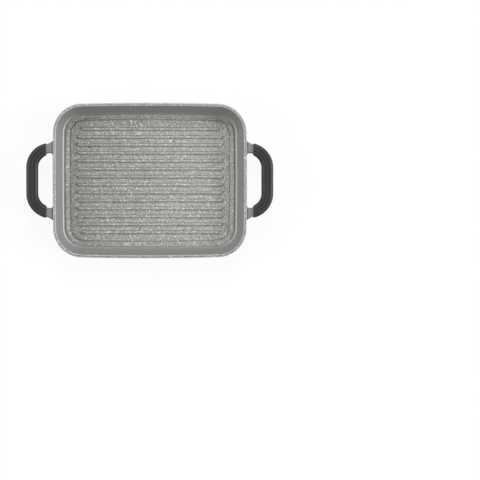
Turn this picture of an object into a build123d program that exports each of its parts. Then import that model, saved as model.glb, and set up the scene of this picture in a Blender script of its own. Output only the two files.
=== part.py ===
# Plancha griddle: a ribbed cast pan with two loop handles in split silicone
# sleeves, and a perforated steel plate pressed into its base for induction hobs.
# Millimetres. X runs from handle to handle, Z is up, and the origin is the
# centre of the face that the pan stands on.
import os
from math import asin, degrees, sqrt

from build123d import *

os.makedirs("parts", exist_ok=True)

# Body, measured over the rim
body_length = 300.0
body_width = 240.0
rim_height = 45.0
rim_corner = 41.0
side_radius = 4000.0  # the four sides bow out very slightly

# Wall: insets from the rim's outer edge, and heights
rim_land = 4.5
rim_break = 1.2  # broken edges of the rim
rim_band = 4.0  # upright band below the rim's outer edge
upper_draft = 7.4
ledge_height = 20.5  # the outer ledge and the well's inner edge are level
ledge_step = 1.2
lower_draft = 4.4
turn_height = 5.5  # where the wall turns under to the base
well_draft = 9.7
riser_draft = 2.2
moat_width = 7.5
moat_break = 2.2  # the riser meets the moat in a sloped corner

# Floor of the well
moat_height = 6.4
floor_step = 1.4
rib_height = 3.0
rib_width = 5.0
rib_pitch = 12.4
rib_side_gap = 11.0  # least flat floor beside the first and last ribs
rib_end_gap = 10.7  # flat floor beyond the ribs' ends
end_rib_gap = 16.7  # the first and last ribs are shorter
rib_corner = 1.6
rib_draft = 14.0

# Base panel, and the round boss that the pan stands on
panel_end_inset = 18.0  # from the rim's outer edge, seen from below
panel_side_inset = 20.75
panel_height = 0.8
panel_corner = 24.0
panel_groove = 1.2
panel_border = 0.8  # outside the groove
boss_border = 11.4  # plain ring outside the plate
boss_groove = 1.5
boss_break = 0.4
groove_depth = 0.9

# Perforated plate and centre disc, pressed in flush with the boss
plate_radius = 81.3
plate_thickness = 1.0
eye_radius = 21.1
centre_radius = 18.9
plate_gap = 0.1
slot_width = 2.3
sector_count = 6
long_slot_start = 35.0
short_slot_end = 61.4
hole_radius = 1.8
hole_sides = 6  # drawn as hexagons, which keeps the facets few
first_row = 26.0
row_pitch = 8.6
row_border = 3.6  # least distance from the last row to the plate's edge
first_row_count = 2  # holes in half a sector; every second row has one more
slot_margin = 5.2  # from a slot's centre line to the nearest holes

# Loop handles: the bar's centre line seen from above
loop_reach = 31.7
loop_half_span = 49.4
loop_bend = 29.4
bar_width = 13.8
bar_height = 9.0
bar_drop = 2.5  # the bar's top is this far under the rim
bar_break = 2.0
root_inset = 3.2  # the roots die into the wall this far under the rim's edge
root_start = 8.8
root_flare = 7.5
root_arch = 4.2
root_tail = 6.0

# Silicone sleeves
sleeve_start = 10.0  # from the rim to the sleeve's ends
sleeve_side = 2.2
sleeve_cover = 2.5
sleeve_break = 3.2
sleeve_gap = 0.2
slit_width = 0.8

half_length = body_length / 2
half_width = body_width / 2
ledge_inset = upper_draft + ledge_step
turn_inset = ledge_inset + lower_draft
edge_inset = rim_land + well_draft
riser_inset = edge_inset + riser_draft
floor_inset = riser_inset + moat_width
floor_height = moat_height + floor_step
floor_length = body_length - 2 * (floor_inset + floor_step)
floor_width = body_width - 2 * (floor_inset + floor_step)
rib_length = floor_length - 2 * rib_end_gap
end_rib_length = floor_length - 2 * end_rib_gap
rib_count = 1 + int((floor_width - rib_width - 2 * rib_side_gap) / rib_pitch)
panel_length = body_length - 2 * panel_end_inset
panel_width = body_width - 2 * panel_side_inset
boss_radius = plate_radius + boss_border
row_count = 1 + int((plate_radius - row_border - first_row) / row_pitch)
bar_top = rim_height - bar_drop
bar_base = bar_top - bar_height
bar_half = bar_width / 2
bend_x = half_length + loop_reach - loop_bend
bend_y = loop_half_span - loop_bend
sector_angle = 360 / sector_count


def pan_outline(inset):
    """The rim's outline, moved in by an inset: four bowed sides and round corners."""
    x = half_length - inset
    y = half_width - inset
    bow_x = y**2 / (2 * side_radius)
    bow_y = x**2 / (2 * side_radius)
    with BuildSketch() as outline:
        with BuildLine():
            ThreePointArc((x - bow_x, bow_y - y), (x, 0), (x - bow_x, y - bow_y))
            ThreePointArc((x - bow_x, y - bow_y), (0, y), (bow_x - x, y - bow_y))
            ThreePointArc((bow_x - x, y - bow_y), (-x, 0), (bow_x - x, bow_y - y))
            ThreePointArc((bow_x - x, bow_y - y), (0, -y), (x - bow_x, bow_y - y))
        make_face()
        fillet(outline.vertices(), rim_corner - inset)
    return outline.sketch


def loop_face(offset):
    """A D shape whose outer edge runs beside the bar's centre line, offset outwards."""
    reach = half_length + loop_reach + offset
    with BuildSketch() as face:
        with Locations((reach, 0)):
            Rectangle(reach, 2 * (loop_half_span + offset), align=(Align.MAX, Align.CENTER))
        fillet(face.vertices().group_by(Axis.X)[-1], loop_bend + offset)
    return face.sketch


def loop_ring(inner, outer, start):
    """The band between two offsets of the bar's centre line, beyond a distance from the rim."""
    with BuildSketch() as ring:
        add(loop_face(outer))
        add(loop_face(inner), mode=Mode.SUBTRACT)
        split(bisect_by=Plane.YZ.offset(half_length + start), keep=Keep.TOP)
    return ring.sketch


def bar_edge(x, offset):
    """How far a bend's edge lies from the middle of the loop, at a place along X."""
    return bend_y + sqrt((loop_bend + offset) ** 2 - (x - bend_x) ** 2)


def loop_roots():
    """Where the bar's two ends widen and die into the pan's wall."""
    flare_x = half_length + root_start
    arch_x = half_length + root_arch
    wall_x = half_length - root_inset
    back_x = half_length - edge_inset
    flare_y = bar_edge(flare_x, bar_half)
    arch_y = bar_edge(arch_x, -bar_half)
    wall_y = flare_y + root_flare
    middle = (flare_x - root_start / 2, flare_y + root_flare / 4)
    with BuildSketch() as roots:
        with BuildLine():
            ThreePointArc((flare_x, flare_y), middle, (wall_x, wall_y))
            Polyline((wall_x, wall_y), (back_x, wall_y), (back_x, 0), (wall_x, 0))
            Line((wall_x, 0), (wall_x, arch_y - root_arch - root_tail))
            Line((wall_x, arch_y - root_arch - root_tail), (half_length, arch_y - root_arch))
            RadiusArc((half_length, arch_y - root_arch), (arch_x, arch_y), root_arch)
            Polyline((arch_x, arch_y), (flare_x, arch_y), (flare_x, flare_y))
        make_face()
        mirror(about=Plane.XZ)
    return roots.sketch


def slot_bars(width, start, end, turn):
    """Radial bars, one in each sector, the size of the slots or of the keys in them."""
    with BuildSketch() as bars:
        with PolarLocations((start + end) / 2, sector_count, start_angle=turn):
            Rectangle(end - start, width)
    return bars.sketch


def row_angles(radius, count):
    """Angles of a row's holes from the long slot, keeping clear of the slots it meets."""
    margin = degrees(asin(slot_margin / radius))
    crosses_long = radius > long_slot_start
    crosses_short = radius < short_slot_end
    near = margin if crosses_long else 0
    far = sector_angle / 2 - (margin if crosses_short else 0)
    steps = count - 1 + (0 if crosses_long else 0.5) + (0 if crosses_short else 0.5)
    pitch = (far - near) / steps
    first = near if crosses_long else pitch / 2
    return [first + pitch * k for k in range(count)]


def rib_plan(length):
    """A rib's foot: a long bar with its corners cut."""
    with BuildSketch() as plan:
        Rectangle(length, rib_width)
        chamfer(plan.vertices(), rib_corner)
    return plan.sketch


# Outside of the body, from the base up to the rim
with BuildPart() as body:
    border = 2 * (panel_groove + panel_border)
    with BuildSketch(Plane.XY.offset(panel_height)):
        RectangleRounded(panel_length + border, panel_width + border, panel_corner + border / 2)
    with BuildSketch(Plane.XY.offset(turn_height)):
        add(pan_outline(turn_inset))
    with BuildSketch(Plane.XY.offset(ledge_height - ledge_step)):
        add(pan_outline(ledge_inset))
    with BuildSketch(Plane.XY.offset(ledge_height)):
        add(pan_outline(upper_draft))
    with BuildSketch(Plane.XY.offset(rim_height - rim_band)):
        add(pan_outline(0))
    with BuildSketch(Plane.XY.offset(rim_height - rim_break)):
        add(pan_outline(0))
    with BuildSketch(Plane.XY.offset(rim_height)):
        add(pan_outline(rim_break))
    loft(ruled=True)

# Space inside the walls, from the moat up
with BuildPart() as well:
    riser_lean = riser_draft / (ledge_height - moat_height)
    with BuildSketch(Plane.XY.offset(moat_height)):
        add(pan_outline(riser_inset + moat_break))
    with BuildSketch(Plane.XY.offset(moat_height + moat_break)):
        add(pan_outline(riser_inset - moat_break * riser_lean))
    with BuildSketch(Plane.XY.offset(ledge_height)):
        add(pan_outline(edge_inset))
    with BuildSketch(Plane.XY.offset(rim_height - rim_break)):
        add(pan_outline(rim_land))
    with BuildSketch(Plane.XY.offset(rim_height)):
        add(pan_outline(rim_land - rim_break))
    loft(ruled=True)

# One loop handle and its roots, cast in one with the pan
with BuildPart() as loop:
    with BuildSketch(Plane.XY.offset(bar_base)):
        add(loop_ring(-bar_half, bar_half, root_arch))
    extrude(amount=bar_height)
    chamfer(loop.faces().filter_by(Axis.Z).edges(), bar_break)

with BuildPart() as roots:
    with BuildSketch(Plane.XY.offset(bar_base)):
        add(loop_roots())
    extrude(amount=bar_height)
    chamfer(roots.faces().filter_by(Axis.Z).edges(), bar_break)

with BuildPart() as griddle_pan:
    add(body.part)
    add([loop.part, roots.part, mirror(loop.part, about=Plane.YZ), mirror(roots.part, about=Plane.YZ)])
    add(well.part, mode=Mode.SUBTRACT)
    # Raised floor inside the moat
    with BuildSketch(Plane.XY.offset(moat_height)):
        add(pan_outline(floor_inset))
    extrude(amount=floor_step, taper=45)
    # Ribs, the first and the last a little shorter
    with BuildSketch(Plane.XY.offset(floor_height)):
        with GridLocations(1, rib_pitch, 1, rib_count - 2):
            add(rib_plan(rib_length))
        with GridLocations(1, rib_pitch * (rib_count - 1), 1, 2):
            add(rib_plan(end_rib_length))
    extrude(amount=rib_height, taper=rib_draft)
    # Groove round the base panel
    with BuildSketch(Plane.XY.offset(panel_height)):
        width = 2 * panel_groove
        RectangleRounded(panel_length + width, panel_width + width, panel_corner + panel_groove)
        RectangleRounded(panel_length, panel_width, panel_corner, mode=Mode.SUBTRACT)
    extrude(amount=groove_depth, mode=Mode.SUBTRACT)
    # Boss and the groove round it
    with BuildSketch(Plane.XY.offset(panel_height)):
        Circle(boss_radius + boss_groove)
        Circle(boss_radius, mode=Mode.SUBTRACT)
    extrude(amount=groove_depth, mode=Mode.SUBTRACT)
    with BuildSketch():
        Circle(boss_radius)
    extrude(amount=panel_height)
    chamfer(griddle_pan.faces().sort_by(Axis.Z)[0].edges(), boss_break)
    # Seat of the plate, with the keys that fill its slots and the ring round its eye
    with BuildSketch():
        Circle(plate_radius + plate_gap)
        Circle(eye_radius - plate_gap, mode=Mode.SUBTRACT)
        key_width = slot_width - 2 * plate_gap
        seat_edge = plate_radius + slot_width
        add(slot_bars(key_width, long_slot_start + plate_gap, seat_edge, sector_angle / 2), mode=Mode.SUBTRACT)
        add(slot_bars(key_width, centre_radius, short_slot_end - plate_gap, 0), mode=Mode.SUBTRACT)
        Circle(centre_radius + plate_gap)
    extrude(amount=plate_thickness, mode=Mode.SUBTRACT)

griddle_pan.part.label = "griddle_pan"
export_step(griddle_pan.part, "parts/griddle_pan.step")

# Perforated steel plate: slots open to its edge and to its eye, and rows of holes
with BuildPart() as induction_plate:
    with BuildSketch():
        Circle(plate_radius)
        Circle(eye_radius, mode=Mode.SUBTRACT)
        slot_edge = plate_radius + slot_width
        add(slot_bars(slot_width, long_slot_start, slot_edge, sector_angle / 2), mode=Mode.SUBTRACT)
        add(slot_bars(slot_width, centre_radius, short_slot_end, 0), mode=Mode.SUBTRACT)
        for row in range(row_count):
            radius = first_row + row * row_pitch
            for angle in row_angles(radius, first_row_count + row // 2):
                for side in (-1, 1):
                    turn = sector_angle / 2 + side * angle
                    with PolarLocations(radius, sector_count, start_angle=turn):
                        RegularPolygon(hole_radius, hole_sides, mode=Mode.SUBTRACT)
    extrude(amount=plate_thickness)

induction_plate.part.label = "induction_plate"
export_step(induction_plate.part, "parts/induction_plate.step")

# Plain disc inside the ring
with BuildPart() as centre_disc:
    with BuildSketch():
        Circle(centre_radius)
    extrude(amount=plate_thickness)

centre_disc.part.label = "centre_disc"
export_step(centre_disc.part, "parts/centre_disc.step")

# Sleeve: a thick soft wall round the bar, split along the inside of the loop
with BuildPart() as sleeve:
    side = bar_half + sleeve_side
    bore = bar_half + sleeve_gap
    low = bar_base - sleeve_cover
    height = bar_height + 2 * sleeve_cover
    with BuildSketch(Plane.XY.offset(low)):
        add(loop_ring(-side, side, sleeve_start))
    extrude(amount=height)
    chamfer(sleeve.faces().filter_by(Axis.Z).edges().filter_by(Axis.Y, reverse=True), sleeve_break)
    with BuildSketch(Plane.XY.offset(bar_base - sleeve_gap)):
        add(loop_ring(-bore, bore, 0))
    extrude(amount=bar_height + 2 * sleeve_gap, mode=Mode.SUBTRACT)
    with BuildSketch(Plane.XY.offset(bar_base + bar_height / 2 - slit_width / 2)):
        add(loop_ring(-side - sleeve_side, -bore + sleeve_gap, 0))
    extrude(amount=slit_width, mode=Mode.SUBTRACT)

sleeves = {"right_grip": sleeve.part, "left_grip": mirror(sleeve.part, about=Plane.YZ)}
for name, grip in sleeves.items():
    grip.label = name
    export_step(grip, f"parts/{name}.step")
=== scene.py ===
import bmesh
import bpy
import numpy as np
from mathutils import Matrix, Vector
from mathutils.geometry import delaunay_2d_cdt


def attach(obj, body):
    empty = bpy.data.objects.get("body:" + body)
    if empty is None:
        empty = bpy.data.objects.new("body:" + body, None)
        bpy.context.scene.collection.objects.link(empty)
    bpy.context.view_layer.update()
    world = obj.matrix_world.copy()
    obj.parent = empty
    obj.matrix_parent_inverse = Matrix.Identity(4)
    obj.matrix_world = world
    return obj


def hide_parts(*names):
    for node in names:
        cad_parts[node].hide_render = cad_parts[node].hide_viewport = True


# Ribbed griddle pan with two loop handles. Sizes are in millimetres until a mesh is made.
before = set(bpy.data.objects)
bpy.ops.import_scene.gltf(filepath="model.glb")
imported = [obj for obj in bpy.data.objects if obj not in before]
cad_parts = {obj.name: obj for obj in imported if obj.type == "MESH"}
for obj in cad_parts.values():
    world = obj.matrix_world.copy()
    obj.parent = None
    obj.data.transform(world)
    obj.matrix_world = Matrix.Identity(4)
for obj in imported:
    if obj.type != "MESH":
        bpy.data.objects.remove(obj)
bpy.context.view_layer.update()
mm = 0.001
print("frame loaded:", sorted(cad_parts))


# Shared mesh tools

mergeDistance = 0.002  # points closer than this become one
corrections = 8  # rounds of a repeated correction, more than it takes to settle


def gridFaces(rows, columns, closed=False):
    # quads between neighbouring rows; a closed grid joins its last column to the first
    here = np.arange(rows * columns).reshape(rows, columns)
    beside = np.roll(here, -1, axis=1)
    if not closed:
        here, beside = here[:, :-1], beside[:, :-1]
    return np.stack([here[:-1], here[1:], beside[1:], beside[:-1]], axis=-1).reshape(-1, 4)


def makePiece(name, parts, materials, nodes=(), sharpAngle=None):
    # Parts are (points, faces, material index, tone). A point's tone paints shade into the finish,
    # most in creases, and paints highlights on edges. Doubles are merged, and normals turned outwards.
    # Without a sharp angle all faces are smooth, and their normals are weighted by area.
    points, faces, marks, tones = [], [], [], []
    count = 0
    for partPoints, partFaces, mark, tone in parts:
        points.append(np.asarray(partPoints, float).reshape(-1, 3))
        tones.append(np.broadcast_to(tone, np.shape(partPoints)[:-1]).ravel())
        faces += [[int(i) + count for i in face] for face in partFaces]
        marks += [mark] * len(partFaces)
        count += len(points[-1])
    mesh = bpy.data.meshes.new(name)
    mesh.from_pydata(np.concatenate(points) * mm, [], faces)
    mesh.polygons.foreach_set("material_index", np.array(marks, np.int32))
    mesh.attributes.new("tone", "FLOAT", "POINT").data.foreach_set("value", np.concatenate(tones))
    work = bmesh.new()
    work.from_mesh(mesh)
    bmesh.ops.remove_doubles(work, verts=work.verts, dist=mergeDistance * mm)
    bmesh.ops.recalc_face_normals(work, faces=work.faces)
    for face in work.faces:
        face.smooth = True
    work.to_mesh(mesh)
    work.free()
    for material in materials:
        mesh.materials.append(material)
    piece = bpy.data.objects.new(name, mesh)
    bpy.context.scene.collection.objects.link(piece)
    if sharpAngle is None:  # flat stretches stay flat beside small rounded edges
        piece.modifiers.new("weightedNormals", "WEIGHTED_NORMAL").keep_sharp = True
    else:
        mesh.set_sharp_from_angle(angle=np.radians(sharpAngle))
    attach(piece, "root")
    if nodes:
        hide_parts(*nodes)
    print(name, "has", len(mesh.polygons), "faces")


def roundedRows(rails):
    # Rails are (line of points, tangent length, steps, tone). Each corner between two rails becomes
    # a circular arc that starts and ends a tangent length away from it, as a rational curve, and
    # the tone is strongest half way round the arc. A rail with no tangent length stays one row.
    rows, tones = [rails[0][0]], [rails[0][3]]
    for (before, *_), (corner, reach, steps, tone), (after, *_) in zip(rails, rails[1:], rails[2:]):
        if reach == 0:
            rows.append(corner)
            tones.append(tone)
            continue
        back = before - corner
        ahead = after - corner
        back /= np.linalg.norm(back, axis=1, keepdims=True)
        ahead /= np.linalg.norm(ahead, axis=1, keepdims=True)
        weight = np.sqrt((1 - np.sum(back * ahead, axis=1, keepdims=True)) / 2)
        start, end = corner + back * reach, corner + ahead * reach
        for s in np.linspace(0, 1, steps + 1):
            a, b, c = (1 - s) ** 2, 2 * s * (1 - s) * weight, s**2
            rows.append((a * start + b * corner + c * end) / (a + b + c))
        tones += list(tone * np.sin(np.linspace(0, np.pi, steps + 1)))
    rows.append(rails[-1][0])
    return np.stack(rows), np.array(tones + [rails[-1][3]], float)


def countRows(rails):
    # an arc has one row more than it has steps
    return sum(steps + 1 for _, _, steps, _ in rails)


def smoothStep(t):
    # three t squared less two t cubed, from 0 to 1
    t = np.clip(t, 0, 1)
    return t * t * (3 - 2 * t)


# Materials

def newMaterial(name):
    material = bpy.data.materials.new(name)
    material.use_nodes = True
    nodes = material.node_tree.nodes
    return material, nodes, material.node_tree.links, nodes["Principled BSDF"]


def objectPlace(nodes):
    return nodes.new("ShaderNodeTexCoord").outputs["Object"]


def objectNoise(nodes, links, scale, detail=2.0, output="Fac"):
    # noise on Object coordinates, in features per metre
    noise = nodes.new("ShaderNodeTexNoise")
    noise.inputs["Scale"].default_value = scale
    noise.inputs["Detail"].default_value = detail
    links.new(objectPlace(nodes), noise.inputs["Vector"])
    return noise.outputs[output]


def rampOf(nodes, links, source, low, high, lowValue=0.0, highValue=1.0):
    ramp = nodes.new("ShaderNodeMapRange")
    ramp.inputs["From Min"].default_value = low
    ramp.inputs["From Max"].default_value = high
    ramp.inputs["To Min"].default_value = lowValue
    ramp.inputs["To Max"].default_value = highValue
    links.new(source, ramp.inputs["Value"])
    return ramp.outputs["Result"]


def multiply(nodes, links, first, second):
    times = nodes.new("ShaderNodeMath")
    times.operation = "MULTIPLY"
    links.new(first, times.inputs[0])
    links.new(second, times.inputs[1])
    return times.outputs[0]


def mixColour(nodes, links, share, first, second):
    # each colour is a tuple, or another node's output; sockets 6, 7 and 2 are the node's colours
    mix = nodes.new("ShaderNodeMix")
    mix.data_type = "RGBA"
    links.new(share, mix.inputs["Factor"])
    for socket, colour in ((mix.inputs[6], first), (mix.inputs[7], second)):
        if isinstance(colour, tuple):
            socket.default_value = (*colour, 1)
        else:
            links.new(colour, socket)
    return mix.outputs[2]


def addBump(nodes, links, shader, height, strength, depth):
    bump = nodes.new("ShaderNodeBump")
    bump.inputs["Strength"].default_value = strength
    bump.inputs["Distance"].default_value = depth * mm
    links.new(height, bump.inputs["Height"])
    links.new(bump.outputs["Normal"], shader.inputs["Normal"])


# In each finish, ground is two near colours, and cloud the noise that mixes them: features per
# metre, detail, and the values between which it runs. The mesh's tone paints shade, towards the
# dark colour at -1, and paints highlights, towards the edge colour at 1. Grain is a bump: features
# per metre, detail, strength, depth.

def clouded(nodes, links, look):
    scale, detail, low, high = look["cloud"]
    share = rampOf(nodes, links, objectNoise(nodes, links, scale, detail), low, high)
    return mixColour(nodes, links, share, *look["ground"])


def finishCoat(nodes, links, shader, look, colour):
    attribute = nodes.new("ShaderNodeAttribute")
    attribute.attribute_name = "tone"
    tone = attribute.outputs["Fac"]
    # painted highlights where the tone is above 0, painted shade where it is below
    lighter = mixColour(nodes, links, rampOf(nodes, links, tone, 0, 1), colour, look["edge"])
    darker = mixColour(nodes, links, rampOf(nodes, links, tone, -1, 0, 1, 0), lighter, look["paintedShade"])
    links.new(darker, shader.inputs["Base Color"])
    shader.inputs["Roughness"].default_value = look["roughness"]
    scale, detail, strength, depth = look["grain"]
    addBump(nodes, links, shader, objectNoise(nodes, links, scale, detail), strength, depth)


speckled = {
    "ground": ((0.305, 0.307, 0.296), (0.385, 0.387, 0.372)), "cloud": (420, 4.0, 0.36, 0.64),
    # the next two are the colours of painted shade and of painted highlights
    "paintedShade": (0.06, 0.06, 0.058), "edge": (0.62, 0.62, 0.60),
    "roughness": 0.5, "grain": (900, 3.0, 0.35, 0.12),
    # flecks: cells and clumps per metre, a dot's radius in cells, and the share of cells with a dot
    "dark": {"colour": (0.03, 0.03, 0.029), "cells": 600, "radius": 0.36, "share": 0.50, "clumps": 260},
    "light": {"colour": (1.0, 1.0, 0.97), "cells": 520, "radius": 0.37, "share": 0.54, "clumps": 200},
    "dotSoftness": 0.05, "shareSoftness": 0.05, "shrink": (0.75, 1.6),
    "wobbleScale": 2.6, "wobbleReach": 0.9, "clumpRange": (0.35, 0.62), "betweenClumps": 0.35,
}


def flecks(nodes, links, dots):
    # small dots of uneven size round the centres of cells, ragged because the cells are read
    # through a finer noise, and fainter where a coarser noise is low
    perMetre, radius, share = dots["cells"], dots["radius"], dots["share"]
    wobble = objectNoise(nodes, links, speckled["wobbleScale"] * perMetre, output="Color")
    moved = nodes.new("ShaderNodeVectorMath")
    moved.operation = "MULTIPLY_ADD"
    moved.inputs[1].default_value = (speckled["wobbleReach"] / perMetre,) * 3
    links.new(wobble, moved.inputs[0])
    links.new(objectPlace(nodes), moved.inputs[2])
    cells = nodes.new("ShaderNodeTexVoronoi")
    cells.inputs["Scale"].default_value = perMetre
    links.new(moved.outputs["Vector"], cells.inputs["Vector"])
    random = nodes.new("ShaderNodeSeparateColor")  # two random numbers for each cell
    links.new(cells.outputs["Color"], random.inputs["Color"])
    shrink = rampOf(nodes, links, random.outputs["Green"], 0, 1, *speckled["shrink"])
    distance = multiply(nodes, links, cells.outputs["Distance"], shrink)
    dot = rampOf(nodes, links, distance, radius, radius + speckled["dotSoftness"], 1.0, 0.0)
    soft = speckled["shareSoftness"]
    chosen = rampOf(nodes, links, random.outputs["Red"], 1 - share - soft, 1 - share + soft)
    clumps = objectNoise(nodes, links, dots["clumps"])
    clump = rampOf(nodes, links, clumps, *speckled["clumpRange"], speckled["betweenClumps"], 1.0)
    return multiply(nodes, links, multiply(nodes, links, dot, chosen), clump)


def speckledCoat():
    material, nodes, links, shader = newMaterial("speckledCoat")
    colour = clouded(nodes, links, speckled)
    for dots in (speckled["dark"], speckled["light"]):
        colour = mixColour(nodes, links, flecks(nodes, links, dots), colour, dots["colour"])
    finishCoat(nodes, links, shader, speckled, colour)
    return material


plain = {
    "ground": ((0.285, 0.287, 0.278), (0.325, 0.327, 0.318)), "cloud": (300, 4.0, 0.35, 0.65),
    # the next two are the colours of painted shade and of painted highlights
    "paintedShade": (0.10, 0.10, 0.097), "edge": (0.75, 0.75, 0.73),
    "roughness": 0.42, "grain": (1100, 2.0, 0.2, 0.08),
}


def plainCoat():
    material, nodes, links, shader = newMaterial("plainCoat")
    finishCoat(nodes, links, shader, plain, clouded(nodes, links, plain))
    return material


outside = {
    "ground": ((0.215, 0.216, 0.208), (0.34, 0.34, 0.33)), "cloud": (2600, 1.0, 0.5, 0.72),
    # the next two are the colours of painted shade and of painted highlights
    "paintedShade": (0.02, 0.02, 0.02), "edge": (0.62, 0.62, 0.60),
    "roughness": 0.36, "grain": (700, 2.0, 0.15, 0.06),
    "metallic": 0.35, "gloss": 0.25, "glossRoughness": 0.2,
}


def outsidePaint():
    # a metallic paint: fine pale flakes in a grey ground, under a thin gloss
    material, nodes, links, shader = newMaterial("outsidePaint")
    finishCoat(nodes, links, shader, outside, clouded(nodes, links, outside))
    shader.inputs["Metallic"].default_value = outside["metallic"]
    shader.inputs["Coat Weight"].default_value = outside["gloss"]
    shader.inputs["Coat Roughness"].default_value = outside["glossRoughness"]
    return material


silicone = {
    "ground": ((0.018, 0.0185, 0.019), (0.024, 0.0245, 0.025)), "cloud": (160, 3.0, 0.35, 0.65),
    # the next two are the colours of painted shade and of painted highlights
    "paintedShade": (0.001, 0.001, 0.001), "edge": (0.075, 0.075, 0.077),
    "roughness": 0.42, "grain": (1800, 2.0, 0.15, 0.05),
}


def siliconeRubber():
    material, nodes, links, shader = newMaterial("siliconeRubber")
    finishCoat(nodes, links, shader, silicone, clouded(nodes, links, silicone))
    return material


lathe = {
    "rings": 1600, "detail": 3, "low": 0.3, "high": 0.7,  # marks per metre of radius
    "roughnessRange": 0.1, "anisotropy": 0.9, "strength": 0.4,
}
metals = {
    "turnedAluminium": {
        "ground": ((0.80, 0.80, 0.79), (0.93, 0.93, 0.92)), "roughness": 0.34, "depth": 0.02,
    },
    "turnedSteel": {
        "ground": ((0.38, 0.38, 0.37), (0.52, 0.52, 0.51)), "roughness": 0.30, "depth": 0.02,
    },
    "discAluminium": {
        "ground": ((0.34, 0.34, 0.33), (0.42, 0.42, 0.41)), "roughness": 0.36, "depth": 0.03,
    },
}


def turnedMetal(name):
    # concentric lathe marks: noise read on the distance from the middle of the base
    look = metals[name]
    material, nodes, links, shader = newMaterial(name)
    flat = nodes.new("ShaderNodeVectorMath")
    flat.operation = "MULTIPLY"
    flat.inputs[1].default_value = (1, 1, 0)
    links.new(objectPlace(nodes), flat.inputs[0])
    length = nodes.new("ShaderNodeVectorMath")
    length.operation = "LENGTH"
    links.new(flat.outputs["Vector"], length.inputs[0])
    noise = nodes.new("ShaderNodeTexNoise")
    noise.noise_dimensions = "1D"
    noise.inputs["Scale"].default_value = lathe["rings"]
    noise.inputs["Detail"].default_value = lathe["detail"]
    links.new(length.outputs["Value"], noise.inputs["W"])
    marks = noise.outputs["Fac"]
    share = rampOf(nodes, links, marks, lathe["low"], lathe["high"])
    links.new(mixColour(nodes, links, share, *look["ground"]), shader.inputs["Base Color"])
    smoothest, roughest = look["roughness"], look["roughness"] + lathe["roughnessRange"]
    rough = rampOf(nodes, links, marks, lathe["low"], lathe["high"], smoothest, roughest)
    links.new(rough, shader.inputs["Roughness"])
    shader.inputs["Metallic"].default_value = 1.0
    shader.inputs["Anisotropic"].default_value = lathe["anisotropy"]
    tangent = nodes.new("ShaderNodeTangent")
    tangent.direction_type = "RADIAL"
    tangent.axis = "Z"
    links.new(tangent.outputs["Tangent"], shader.inputs["Tangent"])
    addBump(nodes, links, shader, marks, lathe["strength"], look["depth"])
    return material


coatInside = speckledCoat()
coatPlain = plainCoat()
paintOutside = outsidePaint()
aluminium = turnedMetal("turnedAluminium")
steel = turnedMetal("turnedSteel")
discMetal = turnedMetal("discAluminium")
rubber = siliconeRubber()
print("materials made")

# Pan: four bowed sides and round corners, with a ribbed floor. Insets are from the rim's outline.

pan = {
    "halfLength": 150.0, "halfWidth": 120.0, "sideRadius": 4000.0,
    "cornerRadius": 44.8, "cornerSteps": 24,
    # rim and outside: a band, a sloping wall, a ledge in it and the turn to the base
    "rimHeight": 45.0, "rimEdge": 1.5, "rimMiddle": 2.2, "rimLand": 4.2, "rimInner": 1.2,
    "bandHeight": 41.0, "draft": 7.4, "ledgeHeight": 20.5, "ledgeInset": 8.6, "ledgeFoot": 19.3,
    "turnInset": 13.0, "turnHeight": 5.5,
    # well: a lip at the ledge's height, the moat's corner, and the foot and edge of the raised floor
    "wellInset": 15.2, "lip": 0.6, "lipDrop": 1.4, "riserInset": 17.2, "moatHeight": 6.4,
    "floorInset": 24.7, "floorHeight": 7.8, "floorEdge": 1.4, "floorSqueeze": 0.993,
    # base: half sizes of its panel, and the grooves round the panel and the boss
    "panelLength": 132.0, "panelWidth": 99.25, "panelCorner": 24.0, "panelHeight": 0.8,
    "panelBorder": 3.4, "grooveWidth": 2.0, "grooveDepth": 0.9, "grooveSlope": 0.15,
    "bossRadius": 92.7, "bossGroove": 1.8, "bossGrooveFloor": 0.8, "underBoss": 1.0,
    # painted light on the floor: paler per mm towards +X, and painted shade past the ends of the ribs
    "paintedLightDrift": 0.0017, "leftEndShade": 0.12, "rightEndShade": 0.14,
    "endShadeStart": 111.5, "endShadeRun": 5.0,
    # painted shade and painted light on the moat, the lip and the rim, by the side of the pan
    "leftShade": 1.0, "rightShade": 1.7, "backLight": 0.9, "nearLight": 0.7, "leftLight": 0.3,
    "lipAlongSides": 0.15, "nearShade": 0.12, "nearRimShade": 0.2,
}
ribs = {
    "count": 14, "pitch": 12.4, "height": 3.0, "crest": 1.6, "slope": 1.0, "cornerRadius": 1.2,
    "halfLength": 114.0, "shortHalfLength": 108.0,  # the two outermost ribs are shorter
    "fineFrom": 104.0, "fineStep": 0.5, "fieldEnd": 115.5, "coarseLines": 15, "fineLines": 23,
    # painted shade at each rib's foot, stronger on its +Y side
    "shade": 0.62, "farShade": 0.3, "shadeAt": 0.75, "shadeRun": 0.55,
}


def cornerCentre():
    # centre of the corner arc that touches both neighbouring side arcs, by repeated correction,
    # and its distance from the centres of the side arcs
    reach = pan["sideRadius"] - pan["cornerRadius"]
    x = pan["halfLength"] - pan["cornerRadius"]
    y = pan["halfWidth"] - pan["cornerRadius"]
    for _ in range(corrections):
        x = pan["halfLength"] - pan["sideRadius"] + np.sqrt(reach**2 - y**2)
        y = pan["halfWidth"] - pan["sideRadius"] + np.sqrt(reach**2 - x**2)
    return x, y, reach


def wholeRing(quarter):
    # the first quarter, from +X to +Y, mirrored round to a closed ring
    flip = quarter[:0:-1]
    return np.concatenate([quarter[:-1], flip * (-1, 1), -quarter[:-1], flip * (1, -1)])


def atHeight(line, height):
    return np.column_stack([line, np.full(len(line), height)])


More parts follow.
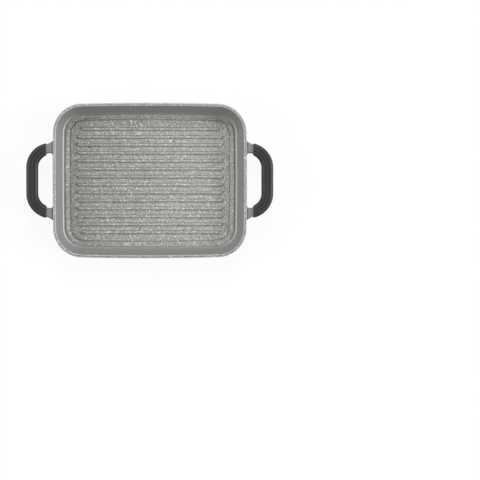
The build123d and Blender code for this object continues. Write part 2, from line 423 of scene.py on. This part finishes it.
# lines of the rib field in one quarter, across the ribs and along them, closest on the ribs' slopes
acrossSlope = ribs["crest"] + ribs["slope"] * np.array([-0.3, 0.0, 0.2, 0.4, 0.6, 0.8, 1.0, 1.3])
ribCentres = (np.arange(ribs["count"] // 2) + 0.5) * ribs["pitch"]
crossLines = [[0.0]]
for ribCentre in ribCentres:
    betweenRibs = ribCentre + ribs["pitch"] / 2
    crossLines += [ribCentre - acrossSlope[::-1], [ribCentre], ribCentre + acrossSlope, [betweenRibs]]
crossLines = np.concatenate(crossLines)
alongLines = np.concatenate([np.linspace(0, ribs["fineFrom"], ribs["coarseLines"]),
                             np.linspace(ribs["fineFrom"] + ribs["fineStep"], ribs["fieldEnd"],
                                         ribs["fineLines"])])

# the rim's outline in one quarter: side arc, corner arc and end arc by the angle of their normal,
# with as many points as the border of the rib field
cornerX, cornerY, cornerReach = cornerCentre()
angleStart = np.arcsin(cornerY / cornerReach)
angleEnd = np.arccos(cornerX / cornerReach)
sideSteps = len(crossLines) - 1 - pan["cornerSteps"] // 2
topSteps = len(alongLines) - 1 - pan["cornerSteps"] // 2
normalAngles = np.concatenate([
    np.linspace(0, angleStart, sideSteps, endpoint=False),
    np.linspace(angleStart, angleEnd, pan["cornerSteps"] + 1)[:-1],
    np.linspace(angleEnd, np.pi / 2, topSteps + 1),
])
outward = np.stack([np.cos(normalAngles), np.sin(normalAngles)], axis=1)
onSide = np.array([pan["halfLength"] - pan["sideRadius"], 0]) + pan["sideRadius"] * outward
onTop = np.array([0, pan["halfWidth"] - pan["sideRadius"]]) + pan["sideRadius"] * outward
onCorner = np.array([cornerX, cornerY]) + pan["cornerRadius"] * outward
rimQuarter = np.where((normalAngles < angleStart)[:, None], onSide,
                      np.where((normalAngles > angleEnd)[:, None], onTop, onCorner))
rimLine = wholeRing(rimQuarter)
rimNormal = wholeRing(outward)


def panLine(inset, height):
    # the rim's outline moved in along its own normals
    return atHeight(rimLine - inset * rimNormal, height)


def panelLine(grow, height):
    # the base panel's rounded rectangle, with a point for each point of the rim
    corner = pan["panelCorner"] + grow
    x, y = pan["panelLength"] - pan["panelCorner"], pan["panelWidth"] - pan["panelCorner"]
    side = np.linspace(0, 1, sideSteps, endpoint=False)
    bend = np.linspace(0, np.pi / 2, pan["cornerSteps"] + 1)[:-1]
    top = np.linspace(1, 0, topSteps + 1)
    quarter = np.concatenate([
        np.column_stack([np.full(sideSteps, x + corner), y * side]),
        np.column_stack([x + corner * np.cos(bend), y + corner * np.sin(bend)]),
        np.column_stack([x * top, np.full(topSteps + 1, y + corner)]),
    ])
    return atHeight(wholeRing(quarter), height)


def circleLine(radius, height):
    # a circle whose points lie on the same rays as the rim's
    angle = np.arctan2(rimLine[:, 1], rimLine[:, 0])
    return atHeight(np.column_stack([radius * np.cos(angle), radius * np.sin(angle)]), height)


def fieldBorder():
    # the rectangle round the rib field, up its +X end and back along its +Y side in each quarter
    x, y = alongLines, crossLines
    end = np.column_stack([np.full(len(y), x[-1]), y])
    side = np.column_stack([x[::-1][1:], np.full(len(x) - 1, y[-1])])
    return atHeight(wholeRing(np.concatenate([end, side])), pan["floorHeight"])


def ribField():
    # height of the floor on a grid: each rib is a rounded box's distance put through a smooth step
    x = np.concatenate([-alongLines[:0:-1], alongLines])
    y = np.concatenate([-crossLines[:0:-1], crossLines])
    gridX, gridY = np.meshgrid(x, y, indexing="ij")
    fromMiddle = np.abs(gridY)
    lastNumber = ribs["count"] // 2 - 1
    number = np.clip(np.floor(fromMiddle / ribs["pitch"]), 0, lastNumber)
    fromRib = fromMiddle - (number + 0.5) * ribs["pitch"]
    halfLength = np.where(number == lastNumber, ribs["shortHalfLength"], ribs["halfLength"])
    corner, slope = ribs["cornerRadius"], ribs["slope"]
    overX = np.abs(gridX) - (halfLength - slope - corner)
    overY = np.abs(fromRib) - (ribs["crest"] - corner)
    past = np.hypot(np.maximum(overX, 0), np.maximum(overY, 0))
    gap = past + np.minimum(np.maximum(overX, overY), 0) - corner
    rise = smoothStep(1 - gap / slope)
    points = np.stack([gridX, gridY, pan["floorHeight"] + ribs["height"] * rise], axis=-1)
    # painted shade: a dark band at each rib's foot, darker on the side towards +Y
    foot = np.clip(1 - np.abs(gap / slope - ribs["shadeAt"]) / ribs["shadeRun"], 0, 1)
    side = np.sign(gridY) * np.sign(fromRib)
    return points, -(ribs["shade"] + ribs["farShade"] * side) * foot


def panRows():
    # the pan's section as rails, from the rib field out to the rim and down to the base's middle
    top, ledge = pan["rimHeight"], pan["ledgeHeight"]
    floor, moat, panel = pan["floorHeight"], pan["moatHeight"], pan["panelHeight"]
    well, lip = pan["wellInset"], pan["lip"]
    groove, width, slope = panel + pan["grooveDepth"], pan["grooveWidth"], pan["grooveSlope"]
    boss, bossGroove = pan["bossRadius"], pan["bossGroove"]
    squeeze = np.array([pan["floorSqueeze"], 1, 1])
    # a groove's edges carry a painted highlight, and its floor painted shade
    crisp = (0.25, 4, 0.8)  # tangent length, steps and tone of a groove's edge
    deep = (0, 0, -1)  # and of its floor
    # each rail's last number is its tone: painted shade below 0, painted highlight above 0
    inner = [
        (fieldBorder(), 0, 0, 0),  # on the raised floor
        (panLine(pan["floorInset"] + pan["floorEdge"], floor) * squeeze, 0.8, 4, 0.15),  # its edge
        (panLine(pan["floorInset"], moat) * squeeze, 0.7, 4, -0.6),  # its foot
        (panLine(pan["riserInset"], moat), 2.6, 6, -0.6),  # the moat's corner
    ]
    wall = [
        (panLine(well + lip, ledge - pan["lipDrop"]), 0.85, 4, 1.0),  # the lip, from below
        (panLine(well - lip, ledge), 0.85, 4, 1.0),
        (panLine(pan["rimLand"], top), pan["rimInner"], 6, 0.6),  # the rim, from its inner edge
        (panLine(pan["rimMiddle"], top), 0.7, 4, -0.3),
        (panLine(0, top), pan["rimEdge"], 6, 0.6),
        (panLine(0, pan["bandHeight"]), 1.5, 4, -0.5),  # the outside, from the foot of its band
        (panLine(pan["draft"], ledge), 0.5, 4, -0.7),
        (panLine(pan["ledgeInset"], pan["ledgeFoot"]), 0.5, 4, 0.6),
        (panLine(pan["turnInset"], pan["turnHeight"]), 2.4, 6, 0.35),
        (panelLine(pan["panelBorder"], panel), 1.0, 4, -0.3),  # the base, from its border
        (panelLine(width, panel), *crisp),
        (panelLine(width * (1 - slope), groove), *deep),
        (panelLine(width * slope, groove), *deep),
        (panelLine(0, panel), *crisp),
        (circleLine(boss + bossGroove, panel), *crisp),
        (circleLine(boss + bossGroove * pan["bossGrooveFloor"], groove), *deep),
        (circleLine(boss - pan["underBoss"], groove), *deep),
        (circleLine(0.01, groove), 0, 0, 0),  # closes at the middle
    ]
    return roundedRows(inner + wall), inner, wall


def floorPaintedLight(points):
    # painted light makes the coat paler towards +X, and painted shade darkens the raised floor past the
    # ends of the ribs
    x = points[..., 0]
    onFloor = np.abs(points[..., 2] - pan["floorHeight"]) < 0.05  # level with it
    past = smoothStep((np.abs(x) - pan["endShadeStart"]) / pan["endShadeRun"])
    endShade = np.where(x < 0, pan["leftEndShade"], pan["rightEndShade"])
    return pan["paintedLightDrift"] * x - endShade * past * onFloor


def makePan():
    (rows, tones), inner, wall = panRows()
    # first rows of the raised floor's foot, the moat's corner, the lip, the rim, and the paint,
    # which starts half way round the rim's outer edge
    foot, corner, lip = countRows(inner[:2]), countRows(inner[:3]), countRows(inner)
    rim = lip + countRows(wall[:2])
    paint = rim + countRows(wall[2:4]) + wall[4][2] // 2 + 1
    tone = np.broadcast_to(tones[:, None], rows.shape[:2]).copy()
    endwise = rimNormal[:, 0]
    back, near = np.clip(rimNormal[:, 1], 0, None), np.clip(-rimNormal[:, 1], 0, None)
    # moat's corner: a line of painted shade at the ends, most at +X, and a painted highlight along the
    # back
    endShade = np.where(endwise > 0, pan["rightShade"], pan["leftShade"]) * endwise**2
    tone[corner:lip] *= endShade - pan["backLight"] * back**2
    # foot of the raised floor: its painted shade is weaker along the near side
    tone[foot:corner] *= 1 - pan["nearLight"] * near
    # lip: a painted highlight, bright at the ends of the pan, faint along its sides
    lipPaintedHighlight = np.sqrt(np.sin(np.linspace(0, np.pi, rim - lip)))
    alongSides = pan["lipAlongSides"]
    tone[lip:rim] = lipPaintedHighlight[:, None] * (alongSides + (1 - alongSides) * endwise**2)
    # painted light on the floor, and painted shade along the near side, inside and on the rim
    tone[:lip] += floorPaintedLight(rows[:lip])
    tone[1:lip] -= pan["nearShade"] * near
    tone[rim:paint] -= pan["nearRimShade"] * near
    # moat's floor, from the last row of the foot to the first of the corner: painted light, paler at -X
    tone[corner - 1:corner + 1] += pan["leftLight"] * np.clip(-endwise, 0, None) ** 2
    faces = gridFaces(len(rows), len(rimLine), closed=True)
    rowOf = faces[:, 0] // len(rimLine)
    # speckled up to the lip and over the rim, plain on the lip and the wall above it, paint outside
    speckledRow = (rowOf < lip) | ((rowOf >= rim) & (rowOf < paint))
    ribPoints, ribPaintedShade = ribField()
    parts = [
        (rows, faces[speckledRow], 0, tone),
        (rows, faces[(rowOf >= lip) & (rowOf < rim)], 1, tone),
        (rows, faces[rowOf >= paint], 2, tone),
        (ribPoints, gridFaces(*ribPoints.shape[:2]), 0, ribPaintedShade + floorPaintedLight(ribPoints)),
    ]
    materials = [coatInside, coatPlain, paintOutside]
    makePiece("griddlePan", parts, materials, ["griddle_pan"])


makePan()

# Loop handles: a bar of rounded section along a D-shaped path, wider where it meets the wall

loop = {
    "wallX": 146.2, "rimX": 150.0, "bendX": 152.3, "bendY": 20.0, "bend": 29.4,
    "wallSteps": 8, "rootSteps": 14, "rootPower": 1.6, "bendSteps": 48,
    "halfWidth": 6.9, "base": 33.5, "top": 42.5, "edge": 2.6, "edgeSteps": 6,
    # roots: the outer side flares by a power of the distance, the inner side by a quarter circle
    "flareEnd": 158.8, "flareRun": 12.0, "flare": 7.5, "flarePower": 1.35,
    "archEnd": 154.2, "arch": 4.2, "tailSlope": 1.6,
    # after the loop's own tone, painted shade by the rim and on the inner side
    "tone": -0.32, "rimShade": 0.5, "rimShadeAt": 0.5, "rimShadeRun": 1.0, "archShade": 0.5,
}


def barSection():
    # corner signs and unit arcs of a rounded rectangle's section, as a closed line
    quarter = np.linspace(0, np.pi / 2, loop["edgeSteps"] + 1)
    angles = np.concatenate([quarter + k * np.pi / 2 for k in range(4)])
    signs = np.repeat([(1, 1), (-1, 1), (-1, -1), (1, -1)], len(quarter), axis=0)
    return signs, np.column_stack([np.cos(angles), np.sin(angles)])


def barPath():
    # centre line and outward normals: straight out of the wall, bend, straight, bend, back to it
    rimX, bendX, bendY, radius = loop["rimX"], loop["bendX"], loop["bendY"], loop["bend"]
    root = np.linspace(0, 1, loop["rootSteps"]) ** loop["rootPower"]
    start = np.concatenate([np.linspace(loop["wallX"], rimX, loop["wallSteps"], endpoint=False),
                            rimX + (bendX - rimX) * root])
    angle = np.linspace(np.pi / 2, 0, loop["bendSteps"] + 1)[1:]
    out = np.column_stack([start, np.full(len(start), bendY + radius)])
    outNormal = np.column_stack([np.zeros(len(start)), np.ones(len(start))])
    bendNormal = np.column_stack([np.cos(angle), np.sin(angle)])
    bend = np.array([bendX, bendY]) + radius * bendNormal
    half = np.concatenate([out, bend])
    halfNormal = np.concatenate([outNormal, bendNormal])
    points = np.concatenate([half, half[::-1] * (1, -1)])
    normals = np.concatenate([halfNormal, halfNormal[::-1] * (1, -1)])
    return points, normals


def barSurface():
    # the section carried along the path, its two sides set out by the flare and the arch
    points, normals = barPath()
    x = points[:, 0]
    reach = np.clip((loop["flareEnd"] - x) / loop["flareRun"], 0, None)
    flare = loop["flare"] * reach ** loop["flarePower"]
    depth = np.clip(loop["archEnd"] - x, 0, loop["arch"])
    arch = loop["arch"] - np.sqrt(loop["arch"] ** 2 - depth**2)
    arch += loop["tailSlope"] * np.clip(loop["rimX"] - x, 0, None)
    signs, arcs = barSection()
    edge = loop["edge"]
    outer = loop["halfWidth"] + flare - edge
    inner = loop["halfWidth"] + arch - edge
    across = np.where(signs[None, :, 0] > 0, outer[:, None], -inner[:, None]) + edge * arcs[None, :, 0]
    middle = (loop["base"] + loop["top"]) / 2
    up = middle + signs[:, 1] * ((loop["top"] - loop["base"]) / 2 - edge) + edge * arcs[:, 1]
    flat = points[:, None, :] + normals[:, None, :] * across[..., None]
    return np.concatenate([flat, np.broadcast_to(up[None, :, None], flat.shape[:2] + (1,))], axis=-1)


def makeLoop(name, side):
    surface = barSurface() * (side, 1, 1)
    rows, columns = surface.shape[:2]
    signs, arcs = barSection()
    # painted shade: a dark band round the root where it leaves the rim, and on the inner side
    pastRim = np.abs(surface[..., 0]) - loop["rimX"]
    byRim = np.exp(-(((pastRim - loop["rimShadeAt"]) / loop["rimShadeRun"]) ** 2))
    onArch = (signs[:, 0] < 0) * np.abs(arcs[:, 0])
    tone = loop["tone"] - loop["rimShade"] * byRim - loop["archShade"] * onArch * (1 - byRim)
    faces = gridFaces(rows, columns, closed=True).tolist()
    faces += [list(range(columns)), list(range((rows - 1) * columns, rows * columns))]
    makePiece(name, [(surface, faces, 0, tone)], [coatPlain])


makeLoop("rightLoop", 1)
makeLoop("leftLoop", -1)

# Silicone sleeves: a thick soft wall round each bar, split along the inside of the loop

sleeve = {
    "startX": 160.0, "halfWidth": 9.1, "base": 31.0, "top": 45.0, "edge": 4.2,
    "boreHalfWidth": 7.05, "boreBase": 33.35, "boreTop": 42.65, "boreEdge": 2.4,
    "slit": 0.8, "endRound": 0.9, "fluteOffset": 2.5, "fluteWidth": 0.85, "fluteDepth": 0.3,
    "roundPoints": 9, "facePoints": 41, "sidePoints": 7, "slitPoints": 4,
    "bendSteps": 32, "endSteps": 5, "faceUpright": 0.999,  # on the broad faces, out is up or down
    # tone: a painted highlight on the broad faces, painted shade in the flutes, where each rounding is
    # steep, and in the bore
    "paintedFaceLight": 0.2, "fluteShade": 1.1, "paintedContourShade": 1.1, "steepest": 0.3, "steepRun": 0.3,
    "borePaintedShade": -1.0,
}


def openSection(halfWidth, base, top, edge, flutes=0.0):
    # C-shaped line round a rounded rectangle, from just above the slit on its inner side to just
    # below it, with its outward directions; flutes are shallow dips along the two broad faces
    middle, half = (base + top) / 2, (top - base) / 2
    flatX, flatZ = halfWidth - edge, half - edge
    arc = np.linspace(0, np.pi / 2, sleeve["roundPoints"])
    cos, sin = np.cos(arc), np.sin(arc)
    across = np.linspace(-flatX, flatX, sleeve["facePoints"])[1:-1]
    along = np.linspace(-flatZ, flatZ, sleeve["sidePoints"])[1:-1]
    start = np.linspace(sleeve["slit"] / 2, flatZ, sleeve["slitPoints"])[:-1]
    stretches = [  # offset, height, and the two parts of the outward direction
        (-halfWidth, start, -1, 0),
        (-flatX - edge * cos, flatZ + edge * sin, -cos, sin),
        (across, half, 0, 1),
        (flatX + edge * sin, flatZ + edge * cos, sin, cos),
        (halfWidth, along[::-1], 1, 0),
        (flatX + edge * cos, -flatZ - edge * sin, cos, -sin),
        (across[::-1], -half, 0, -1),
        (-flatX - edge * sin, -flatZ - edge * cos, -sin, -cos),
        (-halfWidth, -start[::-1], -1, 0),
    ]
    rows = np.concatenate([np.column_stack(np.broadcast_arrays(*stretch)) for stretch in stretches])
    offset, height, normal = rows[:, 0], rows[:, 1], rows[:, 2:]
    fromFlutes = [(offset - side * sleeve["fluteOffset"]) / sleeve["fluteWidth"] for side in (-1, 1)]
    onFace = np.abs(normal[:, 1]) > sleeve["faceUpright"]
    dip = sum(np.exp(-(distance**2)) for distance in fromFlutes) * onFace
    return offset, height - flutes * dip * np.sign(height) + middle, normal, dip


def sweepSection(offset, height, cuts):
    # each offset line follows its own arc, so that both ends lie in a plane across X
    radius = loop["bend"] + offset
    near = [np.arcsin((sleeve["startX"] + cut - loop["bendX"]) / radius) for cut in cuts]
    spread = np.linspace(0, 1, sleeve["bendSteps"] + 1)[1:, None]
    angles = np.concatenate([np.stack(near), near[-1] + (np.pi / 2 - near[-1]) * spread])
    x = loop["bendX"] + radius * np.sin(angles)
    y = loop["bendY"] + radius * np.cos(angles)
    half = np.stack([x, y, np.broadcast_to(height, x.shape)], axis=-1)
    return np.concatenate([half, half[::-1] * (1, -1, 1)])


def makeSleeve(name, side, node):
    offset, height, normal, dip = openSection(
        sleeve["halfWidth"], sleeve["base"], sleeve["top"], sleeve["edge"], sleeve["fluteDepth"])
    upright = np.abs(normal[:, 1])  # 1 where the surface faces up or down
    steep = np.exp(-(((upright - sleeve["steepest"]) / sleeve["steepRun"]) ** 2))
    tone = sleeve["paintedFaceLight"] * upright - sleeve["paintedContourShade"] * steep - sleeve["fluteShade"] * dip
    rounding = sleeve["endRound"]
    cuts = rounding * (1 - np.cos(np.linspace(0, np.pi / 2, sleeve["endSteps"] + 1)))
    outer = sweepSection(offset, height, cuts)
    # the first and last rows are drawn in, so that the sleeve's ends are rounded
    shrink = rounding * (1 - np.sqrt(1 - (1 - cuts / rounding) ** 2))
    for k, inset in enumerate(shrink):
        drawn = offset - inset * normal[:, 0], height - inset * normal[:, 1]
        drawnIn = sweepSection(*drawn, [cuts[k]])
        outer[k] = drawnIn[0]
        outer[-1 - k] = drawnIn[-1]
    boreOffset, boreHeight, *_ = openSection(
        sleeve["boreHalfWidth"], sleeve["boreBase"], sleeve["boreTop"], sleeve["boreEdge"])
    bore = sweepSection(boreOffset, boreHeight, cuts)
    whole = np.concatenate([outer, bore[:, ::-1]], axis=1) * (side, 1, 1)
    rows, columns = whole.shape[:2]
    pairs = np.arange(columns // 2 - 1)  # an end's quads, between the outside and the bore
    end = np.stack([pairs, pairs + 1, columns - 2 - pairs, columns - 1 - pairs], axis=1)
    faces = np.concatenate([gridFaces(rows, columns, closed=True), end, end + (rows - 1) * columns])
    tone = np.concatenate([tone, np.full(len(tone), sleeve["borePaintedShade"])])
    makePiece(name, [(whole, faces, 0, tone)], [rubber], [node])


makeSleeve("rightGrip", 1, "right_grip")
makeSleeve("leftGrip", -1, "left_grip")

# Base: perforated plate with round holes, and the bare metal that shows round and through it

base = {
    "plateRadius": 81.3, "eyeRadius": 21.1, "centreRadius": 18.9, "thickness": 1.0,
    "sectors": 6, "slotWidth": 2.3, "longSlotStart": 35.0, "shortSlotEnd": 61.4,
    "holeRadius": 1.7, "firstRow": 26.0, "rowPitch": 8.6, "rowCounts": [2, 2, 3, 3, 4, 4, 5],
    "slotMargin": 5.2, "edge": 0.4, "gap": 0.03, "discGap": 0.15, "discEdge": 0.12,
    "top": 1.75,  # of the boss, the ring and the studs, and of the metal behind the plate
    "backingReach": 4.0, "backingGap": 0.02,
    "bossPoints": 180, "ringPoints": 90, "holePoints": 16, "arcPoints": 22, "notchPoints": 9,
    "sharpAngle": 40,
}
sector = 2 * np.pi / base["sectors"]


def ringOf(radius, points):
    # points evenly round a circle
    angle = np.linspace(0, 2 * np.pi, points, endpoint=False)
    return radius * np.column_stack([np.cos(angle), np.sin(angle)])


def notchedCircle(radius, reach, width, turn):
    # a circle whose radial notches, one in each sector, run to another radius and end round
    half = width / 2
    opening = np.arcsin(half / radius)
    arc = np.linspace(opening, sector - opening, base["arcPoints"])
    around = radius * np.column_stack([np.cos(arc), np.sin(arc)])
    towards = np.sign(reach - radius)
    bend = np.linspace(-np.pi / 2, np.pi / 2, base["notchPoints"])
    notch = np.column_stack([reach + towards * (half * np.cos(bend) - half), half * np.sin(bend)])
    piece = np.concatenate([notch, around])
    turns = turn + sector * np.arange(base["sectors"])
    cos, sin = np.cos(turns), np.sin(turns)
    rotation = np.stack([np.stack([cos, sin], axis=-1), np.stack([-sin, cos], axis=-1)], axis=1)
    return (piece[None] @ rotation).reshape(-1, 2)


def holeCentres():
    # each row is spread evenly over half a sector, with a margin at a side where it meets a slot
    # and half a pitch at a side where it meets none, then mirrored and repeated
    centres = []
    for row, count in enumerate(base["rowCounts"]):
        radius = base["firstRow"] + row * base["rowPitch"]
        margin = np.arcsin(base["slotMargin"] / radius)
        crossesLong = radius > base["longSlotStart"]
        crossesShort = radius < base["shortSlotEnd"]
        near = margin if crossesLong else 0
        far = sector / 2 - (margin if crossesShort else 0)
        pitch = (far - near) / (count - 1 + (0 if crossesLong else 0.5) + (0 if crossesShort else 0.5))
        angles = (near if crossesLong else pitch / 2) + pitch * np.arange(count)
        angles = np.concatenate([-angles, angles])
        angles = (sector / 2 + angles[None] + sector * np.arange(base["sectors"])[:, None]).ravel()
        centres.append(radius * np.column_stack([np.cos(angles), np.sin(angles)]))
    return np.concatenate(centres)


def flatPlate(loops, low, high, lip=0.0):
    # A flat sheet bounded by closed loops, the first of them its outside, as a closed solid. With a
    # lip, its lower outer edge is sloped by that much.
    corners = [Vector(p) for p in np.concatenate(loops)]
    ends = np.cumsum([len(line) for line in loops])
    outlines = [list(range(end - len(line), end)) for line, end in zip(loops, ends)]
    insideWithHoles, tolerance = 2, 1e-5
    flat, _, faces, *_ = delaunay_2d_cdt(corners, [], outlines, insideWithHoles, tolerance)
    flat = np.array([tuple(p) for p in flat])
    parts = [(atHeight(flat, z), faces, 0, 0) for z in (low, high)]
    for k, line in enumerate(loops):
        rise = [(line, low), (line, high)]
        if k == 0 and lip:
            grown = line * (1 + lip / np.linalg.norm(line, axis=1, keepdims=True))
            rise = [(line, low), (grown, low + lip), (grown, high), (line, high)]
        wall = np.stack([atHeight(xy, z) for xy, z in rise])
        parts.append((wall, gridFaces(len(rise), len(line), closed=True), 0, 0))
    return parts


def makePlate(holes):
    outline = notchedCircle(base["plateRadius"], base["longSlotStart"], base["slotWidth"], sector / 2)
    eye = notchedCircle(base["eyeRadius"], base["shortSlotEnd"], base["slotWidth"], 0)
    rims = [centre + ringOf(base["holeRadius"], base["holePoints"]) for centre in holes]
    parts = flatPlate([outline, eye, *rims], 0, base["thickness"])
    makePiece("inductionPlate", parts, [steel], ["induction_plate"], base["sharpAngle"])


def makeBaseFace(holes):
    # the boss round the plate, the ring in its eye, a stud in each hole and the metal behind them
    gap, top = base["gap"], base["top"]
    width = base["slotWidth"] - 2 * gap
    socket = notchedCircle(base["plateRadius"] + gap, base["longSlotStart"] + gap, width, sector / 2)
    boss = ringOf(pan["bossRadius"] - base["edge"], base["bossPoints"])
    eye = notchedCircle(base["eyeRadius"] - gap, base["shortSlotEnd"] - gap, width, 0)
    parts = flatPlate([boss, socket], 0, top, base["edge"])
    parts += flatPlate([eye, ringOf(base["centreRadius"] + gap, base["ringPoints"])], 0, top)
    for centre in holes:
        parts += flatPlate([centre + ringOf(base["holeRadius"] - gap, base["holePoints"])], 0, top)
    backing = ringOf(base["plateRadius"] + base["backingReach"], base["ringPoints"])
    parts += flatPlate([backing], base["thickness"] + base["backingGap"], top)
    makePiece("baseFace", parts, [aluminium], (), base["sharpAngle"])


def makeDisc():
    outline = ringOf(base["centreRadius"] - base["discGap"], base["ringPoints"])
    parts = flatPlate([outline], 0, base["thickness"], base["discEdge"])
    makePiece("centreDisc", parts, [discMetal], ["centre_disc"], base["sharpAngle"])


holes = holeCentres()
makePlate(holes)
makeBaseFace(holes)
makeDisc()

# Floor, light and camera

studio = {
    "floorColour": 0.86, "floorReach": 6.0, "floorRoughness": 0.9,
    "shadowShare": 0.09, "ambient": 0.35,
    # suns: name, direction from +X towards +Y, height and size in degrees, strength
    "suns": [("right", 0, 35, 26, 1.5), ("back", 90, 52, 26, 1.24), ("left", 180, 35, 26, 0.74)],
}


def makeFloor():
    # seen from the camera the floor is white, with a small share of its shaded colour for the shadow
    mesh = bpy.data.meshes.new("floor")
    corners = studio["floorReach"] * np.array([(-1, -1, 0), (1, -1, 0), (1, 1, 0), (-1, 1, 0)], float)
    mesh.from_pydata(corners, [], [(0, 1, 2, 3)])
    floor = bpy.data.objects.new("floor", mesh)
    bpy.context.scene.collection.objects.link(floor)
    material, nodes, links, shader = newMaterial("paleFloor")
    path = nodes.new("ShaderNodeLightPath").outputs["Is Camera Ray"]
    share = studio["shadowShare"]
    paint = mixColour(nodes, links, path, (studio["floorColour"],) * 3, (share,) * 3)
    links.new(paint, shader.inputs["Base Color"])
    shader.inputs["Roughness"].default_value = studio["floorRoughness"]
    shader.inputs["Specular IOR Level"].default_value = 0.0
    shader.inputs["Emission Color"].default_value = (1, 1, 1, 1)
    links.new(rampOf(nodes, links, path, 0, 1, 0, 1 - share), shader.inputs["Emission Strength"])
    mesh.materials.append(material)


def makeWorld():
    # dim all round, but plain white where the camera sees it
    world = bpy.data.worlds.new("studio")
    bpy.context.scene.world = world
    world.use_nodes = True
    nodes, links = world.node_tree.nodes, world.node_tree.links
    path = nodes.new("ShaderNodeLightPath").outputs["Is Camera Ray"]
    background = nodes["Background"]
    links.new(rampOf(nodes, links, path, 0, 1, studio["ambient"], 1), background.inputs["Strength"])
    background.inputs["Color"].default_value = (1, 1, 1, 1)


def makeSuns():
    for name, turn, height, size, strength in studio["suns"]:
        lamp = bpy.data.lights.new(name, "SUN")
        lamp.energy = strength
        lamp.angle = np.radians(size)
        sun = bpy.data.objects.new(name, lamp)
        turn, height = np.radians(turn), np.radians(height)
        towards = Vector((np.cos(turn) * np.cos(height), np.sin(turn) * np.cos(height), np.sin(height)))
        sun.rotation_euler = towards.to_track_quat("Z", "Y").to_euler()
        bpy.context.scene.collection.objects.link(sun)


photo = {
    "size": 480.0, "left": 52.9, "right": 247.2, "top": 102.9, "bottom": 258.3,  # rim, in pixels
    "height": 3200.0, "sensor": 36.0,  # camera over the rim, and width of its sensor
    "clipEnd": 30.0,  # in metres
}


def makeCamera():
    # straight over the pan, and turned until the pan's middle lands where it is in the photograph
    scale = 2 * pan["halfLength"] / (photo["right"] - photo["left"])
    wanted = np.array([photo["left"] + photo["right"] - photo["size"],
                       photo["size"] - photo["top"] - photo["bottom"]]) / 2
    middle = Vector((0, 0, pan["rimHeight"]))
    place = Vector((0, 0, pan["rimHeight"] + photo["height"]))
    aim = middle.copy()
    for _ in range(corrections):
        forward = (aim - place).normalized()
        across = forward.cross(Vector((0, 1, 0))).normalized()
        up = across.cross(forward)
        ray = middle - place
        depth = ray.dot(forward)
        landed = np.array([ray.dot(across), ray.dot(up)]) / scale
        aim += Vector((*(landed - wanted) * scale, 0))
    lens = bpy.data.cameras.new("camera")
    lens.sensor_width = photo["sensor"]
    lens.lens = photo["sensor"] * depth / (photo["size"] * scale)
    lens.clip_end = photo["clipEnd"]
    camera = bpy.data.objects.new("camera", lens)
    turn = Matrix((across, up, -forward)).transposed().to_4x4()
    camera.matrix_world = Matrix.Translation(place * mm) @ turn
    bpy.context.scene.collection.objects.link(camera)
    bpy.context.scene.camera = camera


makeFloor()
makeWorld()
makeSuns()
makeCamera()
bpy.context.scene.view_settings.view_transform = "Standard"
print("floor, light and camera made")
